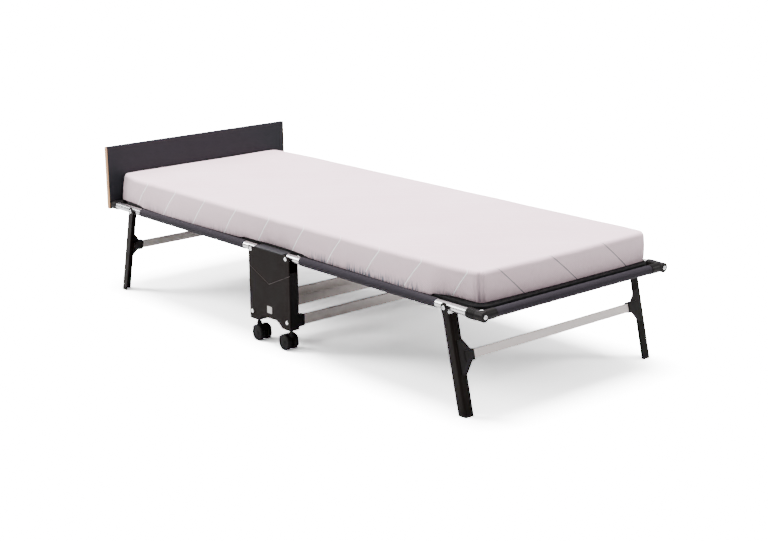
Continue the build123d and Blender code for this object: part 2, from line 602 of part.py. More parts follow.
    # Sleeves: a loop around the tube with a tab that runs in under the deck's edge
    tab_z = DECK_BOTTOM - RAIL_Z - TAB_THICKNESS / 2
    with BuildPart() as rail_sleeves:
        for side in SIDES.values():
            middle = (along(end, (SLEEVE_START + SLEEVE_END) / 2), side * RAIL_Y, RAIL_Z)
            with BuildSketch(Plane(middle, x_dir=(0, 1, 0), z_dir=(1, 0, 0))):
                Circle(SLEEVE_R)
                with Locations((-side * TAB_REACH / 2, tab_z)):
                    Rectangle(TAB_REACH, TAB_THICKNESS)
                Circle(TUBE_R + SNUG, mode=Mode.SUBTRACT)
            extrude(amount=(SLEEVE_END - SLEEVE_START) / 2, both=True)
    rail_sleeves.part.label = f"rail_sleeves_{end_name}"
    export_step(rail_sleeves.part, f"parts/{rail_sleeves.part.label}.step")

    with BuildPart() as end_sleeve:
        end_middle = (along(end, END_RAIL_REACH), 0, RAIL_Z)
        with BuildSketch(Plane(end_middle, x_dir=(1, 0, 0), z_dir=(0, -1, 0))):
            Circle(SLEEVE_R)
            with Locations((-end * TAB_REACH / 2, tab_z)):
                Rectangle(TAB_REACH, TAB_THICKNESS)
            Circle(TUBE_R + SNUG, mode=Mode.SUBTRACT)
        extrude(amount=END_SLEEVE_HALF, both=True)
    end_sleeve.part.label = f"end_sleeve_{end_name}"
    export_step(end_sleeve.part, f"parts/{end_sleeve.part.label}.step")

    with BuildPart() as deck:
        with BuildSketch(Plane.XY.offset(DECK_BOTTOM)):
            neck_end = POD_HALF + DECK_NECK_GAP
            with Locations((along(end, (neck_end + DECK_REACH) / 2), 0)):
                panel = Rectangle(DECK_REACH - neck_end, 2 * DECK_HALF_WIDTH)
            fillet(panel.vertices().group_by(Axis.X)[outer_group], DECK_CORNER_R)
            # Narrower where it runs in between the pods
            with Locations((along(end, (DECK_START + neck_end) / 2), 0)):
                Rectangle(neck_end - DECK_START, 2 * DECK_NECK_HALF)
        extrude(amount=DECK_THICKNESS)
    deck.part.label = f"deck_{end_name}"
    export_step(deck.part, f"parts/{deck.part.label}.step")

    mattress_reach = MATTRESS_REACH[end_name]
    mattress_start = MATTRESS_MIDDLE_HALF + MATTRESS_GAP
    cut_x = along(end, mattress_start)
    with BuildPart() as mattress:
        with BuildSketch(Plane.XY.offset(MATTRESS_BOTTOM)):
            with Locations((along(end, (mattress_start + mattress_reach) / 2), 0)):
                pad = Rectangle(mattress_reach - mattress_start, MATTRESS_WIDTH)
            fillet(pad.vertices().group_by(Axis.X)[outer_group], MATTRESS_CORNER_R)
        extrude(amount=MATTRESS_THICKNESS)
        rims = mattress.edges().group_by(Axis.Z)
        outside = [edge for edge in rims[0] + rims[-1] if abs(edge.center().X - cut_x) > SLIDE]
        fillet(outside, MATTRESS_EDGE_R)
    mattress.part.label = f"mattress_{end_name}"
    export_step(mattress.part, f"parts/{mattress.part.label}.step")

    with BuildPart() as leg_pivot_bolts:
        for side in SIDES.values():
            outward = (0, side, 0)
            leg_x = along(end, LEG_REACH)
            with BuildSketch(Plane((leg_x, side * (LEG_OUTER_Y + SLIDE), RAIL_Z), z_dir=outward)):
                Circle(BOLT_HEAD_R)
            extrude(amount=BOLT_HEAD_HEIGHT)
            head_face = leg_pivot_bolts.faces().filter_by(Axis.Y).sort_by(Axis.Y)[-1 if side > 0 else 0]
            chamfer(head_face.edges(), BOLT_HEAD_CHAMFER)
            with BuildSketch(Plane((leg_x, side * (LEG_OUTER_Y + SLIDE), RAIL_Z), z_dir=outward)):
                Circle(BOLT_R)
            extrude(amount=-(LEG_OUTER_Y + SLIDE - RAIL_Y + TUBE_R))
            with BuildSketch(Plane((leg_x, side * (RAIL_Y + TUBE_R), RAIL_Z), z_dir=outward)):
                Circle(SPACER_R)
            extrude(amount=LEG_OUTER_Y - LEG_WALL - SLIDE - RAIL_Y - TUBE_R)
            with BuildSketch(Plane((leg_x, side * (RAIL_Y - TUBE_R), RAIL_Z), z_dir=outward)):
                Circle(NUT_R)
            extrude(amount=-NUT_HEIGHT)
            head_y = side * (LEG_OUTER_Y + SLIDE + BOLT_HEAD_HEIGHT)
            with BuildSketch(Plane((leg_x, head_y, RAIL_Z), z_dir=outward)):
                RegularPolygon(HEX_SOCKET[0] / 2, 6, major_radius=False)
            extrude(amount=-HEX_SOCKET[1], mode=Mode.SUBTRACT)
    leg_pivot_bolts.part.label = f"leg_pivot_bolts_{end_name}"
    export_step(leg_pivot_bolts.part, f"parts/{leg_pivot_bolts.part.label}.step")

with BuildPart() as deck_middle:
    with BuildSketch(Plane.XY.offset(DECK_BOTTOM)):
        with Locations((FOLD_X, 0)):
            Rectangle(2 * DECK_MIDDLE_HALF, 2 * (POD_BACK_Y - SNUG))
    extrude(amount=DECK_THICKNESS)
deck_middle.part.label = "deck_middle"
export_step(deck_middle.part, "parts/deck_middle.step")

with BuildPart() as mattress_middle:
    with BuildSketch(Plane.XY.offset(MATTRESS_BOTTOM)):
        with Locations((FOLD_X, 0)):
            Rectangle(2 * MATTRESS_MIDDLE_HALF, MATTRESS_WIDTH)
    extrude(amount=MATTRESS_THICKNESS)
    long_edges = mattress_middle.edges().filter_by(Axis.X)
    fillet(long_edges, MATTRESS_EDGE_R)
mattress_middle.part.label = "mattress_middle"
export_step(mattress_middle.part, "parts/mattress_middle.step")

# ---------------------------------------------------------------- headboard

HEADBOARD_FRONT = along(-1, END_REACH)
HEADBOARD_BACK = HEADBOARD_FRONT - HEADBOARD_THICKNESS
HEADBOARD_MIDDLE_Z = (HEADBOARD_BOTTOM + HEADBOARD_TOP) / 2
with BuildPart() as headboard_panel:
    with BuildSketch(Plane((HEADBOARD_FRONT, 0, HEADBOARD_MIDDLE_Z), x_dir=(0, 1, 0), z_dir=(1, 0, 0))):
        Rectangle(HEADBOARD_WIDTH - 2 * LIPPING, HEADBOARD_TOP - HEADBOARD_BOTTOM)
    extrude(amount=-HEADBOARD_THICKNESS)
    for side in SIDES.values():
        with Locations(Plane((HEADBOARD_BACK, side * RAIL_Y, RAIL_Z), z_dir=(-1, 0, 0))):
            CounterBoreHole(BOLT_R + SNUG, BOLT_HEAD_R + SNUG, BOLT_HEAD_HEIGHT)
headboard_panel.part.label = "headboard_panel"
export_step(headboard_panel.part, "parts/headboard_panel.step")

with BuildPart() as headboard_end_lippings:
    for side in SIDES.values():
        lipping_y = side * (HEADBOARD_WIDTH - LIPPING) / 2
        with BuildSketch(
            Plane((HEADBOARD_FRONT, lipping_y, HEADBOARD_MIDDLE_Z), x_dir=(0, 1, 0), z_dir=(1, 0, 0))
        ):
            Rectangle(LIPPING, HEADBOARD_TOP - HEADBOARD_BOTTOM)
        extrude(amount=-HEADBOARD_THICKNESS)
headboard_end_lippings.part.label = "headboard_end_lippings"
export_step(headboard_end_lippings.part, "parts/headboard_end_lippings.step")

# ---------------------------------------------------------------- leg frames

BAR_ACROSS, BAR_ALONG = LEG_BAR
SOCKET_ACROSS = BAR_ACROSS + 2 * GUSSET_WALL
SOCKET_ALONG = BAR_ALONG + 2 * GUSSET_WALL
for end_name, end in ENDS.items():
    bend_axis = Axis((0, 0, 0), leg_plane(end, 0).y_dir)
    for side_name, side in SIDES.items():
        with BuildPart() as leg:
            for low_y, high_y, inner in CHANNEL_WALLS:
                with BuildSketch(leg_plane(end, side * (low_y + high_y) / 2)):
                    Polygon(*leg_slab(inner, WEB_OUTER, WEB_TOP_Z, LEG_END_Z), align=None)
                extrude(amount=(high_y - low_y) / 2, both=True)
            for offset_x, bend_y, bend_r in LEG_BEND:
                bend_point = leg_plane(end, side * bend_y).from_local_coords((offset_x, LEG_BAR_ALONG))
                bend_edges = leg.edges().filter_by(bend_axis).sort_by_distance(bend_point)
                fillet(bend_edges[0], bend_r)
            # The outboard flange runs up into the pivot's ear
            with BuildSketch(leg_plane(end, side * (LEG_OUTER_Y - LEG_WALL / 2))):
                Circle(EAR_R)
                Polygon(
                    (-EAR_R, 0),
                    (FLANGE_EDGE, 2 * EAR_R),
                    (BEND_START, 2 * EAR_R),
                    (BEND_START, EAR_R),
                    (EAR_R, 0),
                    align=None,
                )
                Circle(BOLT_R + RUNNING, mode=Mode.SUBTRACT)
            extrude(amount=LEG_WALL / 2, both=True)
        leg.part.label = f"leg_{side_name}_{end_name}"
        export_step(leg.part, f"parts/{leg.part.label}.step")

    with BuildPart() as leg_gussets:
        for side in SIDES.values():
            mouth_y = LEG_INNER_Y - GUSSET_REACH
            # Plate that laps over the outside of the web and tapers to the socket
            web_plane = leg_plane(end, 0)
            plate_origin = web_plane.from_local_coords((WEB_OUTER, LEG_BAR_ALONG, 0))
            with BuildSketch(Plane(plate_origin, x_dir=(0, 1, 0), z_dir=web_plane.x_dir)):
                Polygon(
                    (side * (LEG_INNER_Y + GUSSET_LAP), GUSSET_HEIGHT / 2),
                    (side * LEG_INNER_Y, GUSSET_HEIGHT / 2),
                    (side * (mouth_y + GUSSET_SHOULDER), SOCKET_ALONG / 2),
                    (side * mouth_y, SOCKET_ALONG / 2),
                    (side * mouth_y, -SOCKET_ALONG / 2),
                    (side * (mouth_y + GUSSET_SHOULDER), -SOCKET_ALONG / 2),
                    (side * LEG_INNER_Y, -GUSSET_HEIGHT / 2),
                    (side * (LEG_INNER_Y + GUSSET_LAP), -GUSSET_HEIGHT / 2),
                    align=None,
                )
            extrude(amount=GUSSET_PLATE)
            socket_plane = leg_plane(end, side * (LEG_SOCKET_Y + mouth_y) / 2)
            with BuildSketch(socket_plane):
                with Locations((LEG_BAR_OFFSET, LEG_BAR_ALONG)):
                    Rectangle(SOCKET_ACROSS, SOCKET_ALONG)
            extrude(amount=(LEG_SOCKET_Y - mouth_y) / 2, both=True)
            with BuildSketch(socket_plane):
                with Locations((LEG_BAR_OFFSET, LEG_BAR_ALONG)):
                    Rectangle(BAR_ACROSS + 2 * SNUG, BAR_ALONG + 2 * SNUG)
            extrude(amount=(LEG_SOCKET_Y - mouth_y) / 2, both=True, mode=Mode.SUBTRACT)
    leg_gussets.part.label = f"leg_gussets_{end_name}"
    export_step(leg_gussets.part, f"parts/{leg_gussets.part.label}.step")

    with BuildPart() as leg_crossbar:
        with BuildSketch(leg_plane(end, 0)):
            with Locations((LEG_BAR_OFFSET, LEG_BAR_ALONG)):
                Rectangle(BAR_ACROSS, BAR_ALONG)
                Rectangle(BAR_ACROSS - 2 * CROSSBAR_WALL, BAR_ALONG - 2 * CROSSBAR_WALL, mode=Mode.SUBTRACT)
        extrude(amount=LEG_BAR_HALF, both=True)
    leg_crossbar.part.label = f"leg_crossbar_{end_name}"
    export_step(leg_crossbar.part, f"parts/{leg_crossbar.part.label}.step")

    with BuildPart() as leg_foot_plugs:
        for side in SIDES.values():
            # Sole under the channel's three walls
            for low_y, high_y, inner in CHANNEL_WALLS:
                with BuildSketch(leg_plane(end, side * (low_y + high_y) / 2)):
                    Polygon(*leg_slab(inner, WEB_OUTER, LEG_END_Z, 0), align=None)
                extrude(amount=(high_y - low_y) / 2, both=True)
            for offset_x, bend_y, bend_r in LEG_BEND:
                sole_point = level(offset_x, LEG_END_Z / 2)
                bend_point = leg_plane(end, side * bend_y).from_local_coords(sole_point)
                bend_edges = leg_foot_plugs.edges().filter_by(bend_axis).sort_by_distance(bend_point)
                fillet(bend_edges[0], bend_r)
        for side in SIDES.values():
            # Lining inside the channel that stays clear of the folded rail
            for low_y, high_y, inner, outer in (
                (PLUG_OUTER_Y - PLUG_LINING, PLUG_OUTER_Y, FLANGE_EDGE, PLUG_WEB - LEG_BEND_R),
                (PLUG_INNER_Y, PLUG_OUTER_Y - LEG_BEND_R, PLUG_WEB - PLUG_LINING, PLUG_WEB),
            ):
                with BuildSketch(leg_plane(end, side * (low_y + high_y) / 2)):
                    Polygon(*leg_slab(inner, outer, PLUG_TOP_Z, 0), align=None)
                extrude(amount=(high_y - low_y) / 2, both=True)
    leg_foot_plugs.part.label = f"leg_foot_plugs_{end_name}"
    export_step(leg_foot_plugs.part, f"parts/{leg_foot_plugs.part.label}.step")
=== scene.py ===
import itertools
import json
import math

import bpy
import numpy as np
from mathutils import Matrix, Vector, noise


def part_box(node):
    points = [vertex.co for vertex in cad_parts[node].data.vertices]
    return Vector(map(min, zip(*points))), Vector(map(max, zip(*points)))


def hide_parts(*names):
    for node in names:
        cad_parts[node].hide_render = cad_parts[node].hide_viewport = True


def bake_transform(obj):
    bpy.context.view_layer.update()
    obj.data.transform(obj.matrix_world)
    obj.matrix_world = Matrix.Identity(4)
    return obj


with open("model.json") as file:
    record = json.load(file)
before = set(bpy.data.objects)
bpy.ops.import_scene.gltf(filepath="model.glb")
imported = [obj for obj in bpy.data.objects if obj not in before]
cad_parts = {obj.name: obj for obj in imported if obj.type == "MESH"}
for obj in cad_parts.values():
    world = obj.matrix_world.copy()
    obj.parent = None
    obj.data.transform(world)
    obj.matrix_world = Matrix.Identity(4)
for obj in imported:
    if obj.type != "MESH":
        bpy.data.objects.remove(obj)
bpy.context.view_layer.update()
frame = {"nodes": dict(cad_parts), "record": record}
NODES = frame["nodes"]

ENDS = {"head": -1, "foot": 1}
SIDES = {"left": 1, "right": -1}
CLOSE = 1e-6  # places nearer than this are the same place
TINY = 1e-9  # keeps a division from failing

# ---------------------------------------------------------------- places, in metres
MIDDLE_LOW, MIDDLE_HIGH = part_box("mattress_middle")
FOLD_X = (MIDDLE_LOW[0] + MIDDLE_HIGH[0]) / 2
MATTRESS_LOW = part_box("mattress_head")[0]
MATTRESS_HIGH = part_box("mattress_foot")[1]
DECK_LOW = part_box("deck_head")[0]
DECK_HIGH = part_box("deck_foot")[1]
SLEEVE_LOW, SLEEVE_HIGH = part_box("rail_sleeves_foot")
SLEEVE_R = (SLEEVE_HIGH[2] - SLEEVE_LOW[2]) / 2
SLEEVE_Y = SLEEVE_HIGH[1] - SLEEVE_R
SLEEVE_Z = SLEEVE_HIGH[2] - SLEEVE_R
POD_LOW, POD_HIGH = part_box("pod_plate_left")
POD_HALF = (POD_HIGH[0] - POD_LOW[0]) / 2


# ---------------------------------------------------------------- material helpers
CLOUDY = (0.3, 0.7)  # most of a noise texture's values lie between these


class Paint:
    """A Principled material with a few helpers for procedural detail in object space."""

    def __init__(self, name, color, rough, metallic=0.0, **sockets):
        self.material = bpy.data.materials.new(name)
        self.material.use_nodes = True
        self.tree = self.material.node_tree
        self.shader = self.tree.nodes["Principled BSDF"]
        self.set("Base Color", (*color, 1))
        self.set("Roughness", rough)
        self.set("Metallic", metallic)
        for socket, value in sockets.items():
            self.set(socket.replace("_", " "), value)
        self.coordinates = None
        self.base = None
        self.height = None

    def set(self, socket, value):
        self.shader.inputs[socket].default_value = value

    def node(self, kind, **settings):
        """New node, with its sockets and its own settings given by name."""
        made = self.tree.nodes.new(kind)
        for key, value in settings.items():
            if key in made.inputs:
                made.inputs[key].default_value = value
            else:
                setattr(made, key, value)
        return made

    def link(self, source, target):
        self.tree.links.new(source, target)

    def mark(self, name):
        """One of the numbers that the mesh carries at each vertex."""
        return self.node("ShaderNodeAttribute", attribute_name=name).outputs["Fac"]

    def place(self, scale=(1, 1, 1), turn=(0, 0, 0)):
        """Object coordinates, scaled and turned."""
        if self.coordinates is None:
            self.coordinates = self.node("ShaderNodeTexCoord")
        mapping = self.node("ShaderNodeMapping", Scale=scale, Rotation=turn)
        self.link(self.coordinates.outputs["Object"], mapping.inputs["Vector"])
        return mapping.outputs["Vector"]

    def noise(self, size, detail=3.0, stretch=(1, 1, 1)):
        """Cloudy pattern with features of about that size in metres."""
        texture = self.node("ShaderNodeTexNoise", Detail=detail, Scale=1.0)
        self.link(self.place([s / size for s in stretch]), texture.inputs["Vector"])
        return texture.outputs["Fac"]

    def ramp(self, value, low, high, to_low=0.0, to_high=1.0):
        """Value mapped from one range to another, kept inside it."""
        mapped = self.node("ShaderNodeMapRange")
        for key, number in (("From Min", low), ("From Max", high), ("To Min", to_low), ("To Max", to_high)):
            mapped.inputs[key].default_value = number
        self.link(value, mapped.inputs["Value"])
        return mapped.outputs["Result"]

    def math(self, operation, *values):
        """One operation on numbers and on other nodes' outputs."""
        made = self.node("ShaderNodeMath", operation=operation)
        for socket, value in zip(made.inputs, values):
            if isinstance(value, (int, float)):
                socket.default_value = value
            else:
                self.link(value, socket)
        return made.outputs["Value"]

    def mix(self, factor, first, second):
        """Colour that runs from first to second with factor. Each is a colour or another node's output."""
        made = self.node("ShaderNodeMix", data_type="RGBA")
        self.link(factor, made.inputs["Factor"])
        for socket, value in (("A", first), ("B", second)):
            if isinstance(value, tuple):
                made.inputs[socket].default_value = (*value, 1)
            else:
                self.link(value, made.inputs[socket])
        return made.outputs["Result"]

    def cover(self, color):
        """Base colour from a node's output."""
        self.base = color
        self.link(color, self.shader.inputs["Base Color"])

    def roughen(self, value, low, high):
        """Roughness that runs from low to high with a noise texture's value."""
        self.link(self.ramp(value, *CLOUDY, low, high), self.shader.inputs["Roughness"])

    def bump(self, height, depth):
        """Surface relief of that depth in metres, on top of any before it."""
        made = self.node("ShaderNodeBump", Strength=1.0, Distance=depth)
        self.link(height, made.inputs["Height"])
        if self.height is not None:
            self.link(self.height, made.inputs["Normal"])
        self.height = made.outputs["Normal"]
        self.link(self.height, self.shader.inputs["Normal"])

    def lit_for_camera(self, near, far):
        """A studio floor: matt, with another brightness where it is seen directly.

        near and far are (distance from the middle, brightness)."""
        output = next(n for n in self.tree.nodes if n.type == "OUTPUT_MATERIAL")
        distance = self.node("ShaderNodeVectorMath", operation="LENGTH")
        self.link(self.place(), distance.inputs[0])
        brightness = self.ramp(distance.outputs["Value"], near[0], far[0], near[1], far[1])
        seen = self.node("ShaderNodeBsdfDiffuse")
        self.link(brightness, seen.inputs["Color"])
        unseen = self.node("ShaderNodeBsdfDiffuse", Color=self.shader.inputs["Base Color"].default_value[:])
        either = self.node("ShaderNodeMixShader")
        self.link(self.node("ShaderNodeLightPath").outputs["Is Camera Ray"], either.inputs["Fac"])
        self.link(unseen.outputs["BSDF"], either.inputs[1])
        self.link(seen.outputs["BSDF"], either.inputs[2])
        self.link(either.outputs["Shader"], output.inputs["Surface"])


def srgb(red, green, blue):
    """Linear colour of an 8-bit sRGB one."""
    return tuple(
        c / 12.92 if c <= 0.04045 else ((c + 0.055) / 1.055) ** 2.4
        for c in (channel / 255 for channel in (red, green, blue))
    )


def shades(color, spread):
    """A darker and a lighter shade of a colour, by that share either way."""
    return tuple(c * (1 - spread) for c in color), tuple(min(1.0, c * (1 + spread)) for c in color)


# ---------------------------------------------------------------- plastics, paints and metals
MOULDED_SPREAD = 0.08  # of the shades, either way from the colour
CLOUD_SIZE = 0.05
CLOUD_TINT = (0.35, 0.65)  # noise values that run from the darker shade to the lighter
MOULDED_GLOSS = (-0.05, 0.06)  # how far the roughness strays from its value
METAL_GLOSS = (-0.05, 0.07)
DRAWN_MARK = 0.0012
DRAWN_STRETCH = 0.02  # of the drawing marks along their axis
DRAWN_DEPTH = 0.00002
# Painted shade in the bolts' hex sockets and seams, by how sheltered each place is
SOCKET_SHADE_REACH = 0.004
SOCKET_SHADE_RAYS = 8
SOCKET_SHADE = (0.45, 0.85)  # openness at which a bolt is dark and bright
SOCKET_SHADE_COLOR = (0.012, 0.011, 0.012)
BOLT_ZINC = (0.86, 0.86, 0.87)

# Painted highlight along the pods' shallow groove
GROOVE_HEIGHTS = (0.206, 0.253)  # at the pod's middle and at its upright edges
GROOVE_HALF = (0.0006, 0.0013)  # from its middle out to full and to no light
GROOVE_LIGHT = 0.85
GROOVE_HIGHLIGHT_COLOR = (0.12, 0.105, 0.10)
GROOVE_BACK = (0.0055, 0.0050)  # how far behind the plate's face its light starts and is full


def moulded(name, color, rough, grain=0.0006, depth=0.00004, gloss=0.15):
    """Moulded plastic or painted metal: fine grain and slightly uneven gloss."""
    paint = Paint(name, color, rough, Specular_IOR_Level=gloss)
    cloud = paint.noise(CLOUD_SIZE, detail=2.0)
    paint.cover(paint.mix(paint.ramp(cloud, *CLOUD_TINT), *shades(color, MOULDED_SPREAD)))
    paint.roughen(cloud, rough + MOULDED_GLOSS[0], rough + MOULDED_GLOSS[1])
    paint.bump(paint.noise(grain, detail=1.0), depth)
    return paint


def metal(name, color, rough, along="X"):
    """Bare metal with faint drawing marks along one axis."""
    paint = Paint(name, color, rough, metallic=1.0)
    stretch = [DRAWN_STRETCH if axis == along else 1.0 for axis in "XYZ"]
    marks = paint.noise(DRAWN_MARK, detail=2.0, stretch=stretch)
    paint.roughen(marks, rough + METAL_GLOSS[0], rough + METAL_GLOSS[1])
    paint.bump(marks, DRAWN_DEPTH)
    return paint


def bolt_metal():
    """Zinc-plated steel, with painted shade inside its hex socket and in its seams."""
    paint = metal("bolt_zinc", BOLT_ZINC, rough=0.25, along="Z")
    shelter = paint.node("ShaderNodeAmbientOcclusion", samples=SOCKET_SHADE_RAYS, Distance=SOCKET_SHADE_REACH)
    openness = paint.ramp(shelter.outputs["AO"], *SOCKET_SHADE)
    # Painted shade: the zinc turns dark where it is sheltered
    paint.cover(paint.mix(openness, SOCKET_SHADE_COLOR, BOLT_ZINC))
    return paint


def pod_plastic():
    """Near-black moulding with a painted highlight along its shallow V-shaped groove."""
    paint = moulded("pod_plastic", (0.0080, 0.0050, 0.0044), 0.5, grain=0.0008, depth=0.00005, gloss=0.06)
    parts = paint.node("ShaderNodeSeparateXYZ")
    paint.link(paint.place(), parts.inputs["Vector"])
    run = paint.math("ABSOLUTE", paint.math("SUBTRACT", parts.outputs["X"], FOLD_X))
    slope = (GROOVE_HEIGHTS[1] - GROOVE_HEIGHTS[0]) / POD_HALF
    rise = paint.math("MULTIPLY_ADD", run, slope, GROOVE_HEIGHTS[0])
    gap = paint.math("ABSOLUTE", paint.math("SUBTRACT", parts.outputs["Z"], rise))
    groove = paint.ramp(gap, *GROOVE_HALF, GROOVE_LIGHT, 0.0)
    face_start, face_end = (POD_HIGH[1] - back for back in GROOVE_BACK)
    face = paint.ramp(paint.math("ABSOLUTE", parts.outputs["Y"]), face_start, face_end)
    # Painted highlight along the groove, fading out behind the plate's face
    paint.cover(paint.mix(paint.math("MULTIPLY", groove, face), paint.base, GROOVE_HIGHLIGHT_COLOR))
    return paint


# ---------------------------------------------------------------- cloths
WEAVE_SCALE = 0.5  # of the wave texture: about one thread to each pitch
WEAVE_DISTORTION = 0.6
WEAVE_SHADE = (0.6, 0.5)  # of the threads and of the clouds over them
WEAVE_CLOUD_SIZE = 0.03
CLOTH_GLOSS = 0.15
CLOTH_CONTRAST = 0.2
CLOTH_DEPTH = 0.00012

LINE_STEP = (0.182, 0.2228)  # between the mattress's woven lines, along X and along Y
LINE_SPACING = LINE_STEP[0] * LINE_STEP[1] / math.hypot(*LINE_STEP)
LINE_PHASE = -0.3167
LINE_HALF = 0.0014
LINE_SOFTNESS = (0.6, 1.4)  # times the half width, where a line is full and where it is gone
LINE_PALE = (1.0, 1.0, 1.0)
# Painted shade turns the woven lines to this on the foot's face
LINE_SHADED = srgb(120, 112, 118)
RIBS_PER_LINE = 30
RIB_TONE = 0.6
RIB_DEPTH = 0.00015
KNIT_BASE = srgb(244, 214, 226)
KNIT_TONES = (srgb(233, 198, 210), srgb(250, 220, 230))
KNIT_CLOUD_SIZE = 0.25
KNIT_CLOUD_TONE = (0.2, 0.8)
# Painted shade on the mattress's sides
KNIT_SIDE_SHADE = srgb(208, 186, 192)
KNIT_SIDE_SHADING = (0.5, 1.0, 0.0, 0.8)  # line strengths, and how much painted shade the sides get at each
KNIT_GRAIN = 0.0015
KNIT_GRAIN_DEPTH = 0.00012
UPRIGHT = (1, 1, 0.1)  # stretches a pattern along Z
# The gathers' painted shade comes as short ticks, in clusters: size, and the noise values from none to full
TICK_SIZE, TICK_RANGE = 0.0038, (0.46, 0.62)
CLUSTER_SIZE, CLUSTER_RANGE = 0.05, (0.32, 0.5)
# Painted shade in the corners' pleats and in the gathers
CREASE_SHADE = 0.38
CREASE_SHADE_COLOR = srgb(104, 110, 126)
GATHER_DEPTH = 0.0012


def woven(name, color, rough, pitch, sheen):
    """Plain woven cloth."""
    paint = Paint(name, color, rough, Sheen_Weight=sheen, Sheen_Roughness=0.5, Specular_IOR_Level=CLOTH_GLOSS)
    threads = []
    for turn in (45, -45):
        wave = paint.node(
            "ShaderNodeTexWave",
            wave_type="BANDS",
            bands_direction="DIAGONAL",
            Scale=1.0,
            Distortion=WEAVE_DISTORTION,
        )
        place = paint.place([WEAVE_SCALE / pitch] * 3, (0, 0, math.radians(turn)))
        paint.link(place, wave.inputs["Vector"])
        threads.append(wave.outputs["Fac"])
    weave = paint.math("MULTIPLY", *threads)
    layers = zip((weave, paint.noise(WEAVE_CLOUD_SIZE)), WEAVE_SHADE)
    shade = paint.math("ADD", *[paint.math("MULTIPLY", layer, weight) for layer, weight in layers])
    paint.cover(paint.mix(shade, *shades(color, CLOTH_CONTRAST)))
    paint.bump(weave, CLOTH_DEPTH)
    return paint


def mattress_cloth():
    """Pale rib knit with thin woven lines that run slantwise across the cover.

    Both follow the mesh's woven_phase, which counts woven lines and turns down over the edges."""
    paint = Paint("mattress_knit", KNIT_BASE, rough=0.86, Sheen_Weight=0.1, Sheen_Roughness=0.6)
    phase = paint.mark("woven_phase")
    rib = paint.math("SINE", paint.math("MULTIPLY", phase, math.tau * RIBS_PER_LINE))
    cloud = paint.ramp(paint.noise(KNIT_CLOUD_SIZE, detail=2.0), *CLOUDY, *KNIT_CLOUD_TONE)
    ground = paint.mix(paint.math("ADD", paint.math("MULTIPLY", rib, RIB_TONE), cloud), *KNIT_TONES)
    # Painted shade: a little darker and greyer on the sides than on the top
    strength = paint.mark("line_strength")
    ground = paint.mix(paint.ramp(strength, *KNIT_SIDE_SHADING), ground, KNIT_SIDE_SHADE)
    # The woven lines lie at whole counts, pale on the top and the sides, with painted shade making them dark
    # on the foot's face
    offset = paint.math("SUBTRACT", paint.math("FRACT", paint.math("ADD", phase, 0.5)), 0.5)
    distance = paint.math("MULTIPLY", paint.math("ABSOLUTE", offset), LINE_SPACING)
    full, gone = (LINE_HALF * times for times in LINE_SOFTNESS)
    line = paint.math("MULTIPLY", paint.ramp(distance, full, gone, 1.0, 0.0), strength)
    lined = paint.mix(line, ground, paint.mix(paint.mark("line_dark"), LINE_PALE, LINE_SHADED))
    # Painted shade in the short gathers along the bottom edge and in the pleats at the corners
    ticks = paint.ramp(paint.noise(TICK_SIZE, detail=0.0, stretch=UPRIGHT), *TICK_RANGE)
    clusters = paint.ramp(paint.noise(CLUSTER_SIZE, detail=1.0, stretch=UPRIGHT), *CLUSTER_RANGE)
    gathers = paint.math("MULTIPLY", paint.math("MULTIPLY", ticks, clusters), paint.mark("gathered"))
    pleats = paint.math("MULTIPLY", paint.mark("creased"), CREASE_SHADE)
    shaded = paint.math("MAXIMUM", gathers, pleats)
    paint.cover(paint.mix(shaded, lined, CREASE_SHADE_COLOR))
    paint.bump(rib, RIB_DEPTH)
    paint.bump(paint.math("MULTIPLY", shaded, -1.0), GATHER_DEPTH)
    paint.bump(paint.noise(KNIT_GRAIN, detail=2.0), KNIT_GRAIN_DEPTH)
    return paint


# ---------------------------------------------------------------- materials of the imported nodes
PAINTS = {
    "tube": metal("tube_aluminium", (0.66, 0.65, 0.66), 0.24),
    "crossbar": metal("crossbar_aluminium", (0.78, 0.71, 0.69), 0.36, along="Y"),
    "bolt": bolt_metal(),
    "leg": moulded("leg_paint", (0.0052, 0.0028, 0.0021), 0.4, gloss=0.08),
    "gusset": moulded("gusset_paint", (0.0125, 0.0105, 0.0105), 0.45, gloss=0.1),
    "pod": pod_plastic(),
    "pod_cover": moulded("pod_cover_plastic", (0.024, 0.025, 0.029), 0.4),
    "black_plastic": moulded("black_plastic", (0.0052, 0.0042, 0.0044), 0.42, gloss=0.12),
    "plug": moulded("plug_plastic", (0.0042, 0.0034, 0.0036), 0.5),
    "label": moulded("label_plate", (0.55, 0.53, 0.51), 0.5),
    "wheel": moulded("wheel_tread", (0.0058, 0.0052, 0.0055), 0.6),
    "sleeve": woven("sleeve_cloth", (0.016, 0.0125, 0.0185), 0.75, pitch=0.0012, sheen=0.02),
    "deck": woven("deck_cloth", (0.0035, 0.0032, 0.0038), 0.8, pitch=0.0014, sheen=0.01),
    "mattress": mattress_cloth(),
    "headboard": moulded("headboard_laminate", (0.0108, 0.0108, 0.0142), 0.55, grain=0.0015, depth=0.00003),
    "lipping": moulded("oak_edge", (0.50, 0.28, 0.15), 0.6),
}

slot_of = {part["node"]: part["material_slot"] for part in frame["record"]["subparts"]}
for node_name, node in NODES.items():
    node.data.materials.clear()
    node.data.materials.append(PAINTS[slot_of[node_name]].material)


# ---------------------------------------------------------------- mesh helpers
def make_piece(name, vertices, faces, paint, sharp_angle=None):
    """New smooth mesh object, with edges sharper than sharp_angle degrees left sharp."""
    mesh = bpy.data.meshes.new(name)
    mesh.from_pydata([tuple(v) for v in vertices], [], [tuple(f) for f in faces])
    mesh.validate()
    mesh.update()
    mesh.shade_smooth()
    if sharp_angle is not None:
        mesh.set_sharp_from_angle(angle=math.radians(sharp_angle))
    piece = bpy.data.objects.new(name, mesh)
    bpy.context.scene.collection.objects.link(piece)
    mesh.materials.append(paint.material)
    return piece


def steps(start, stop, pitch):
    """Evenly spaced values from start to stop, both included."""
    count = max(1, round(abs(stop - start) / pitch))
    return list(np.linspace(start, stop, count + 1))


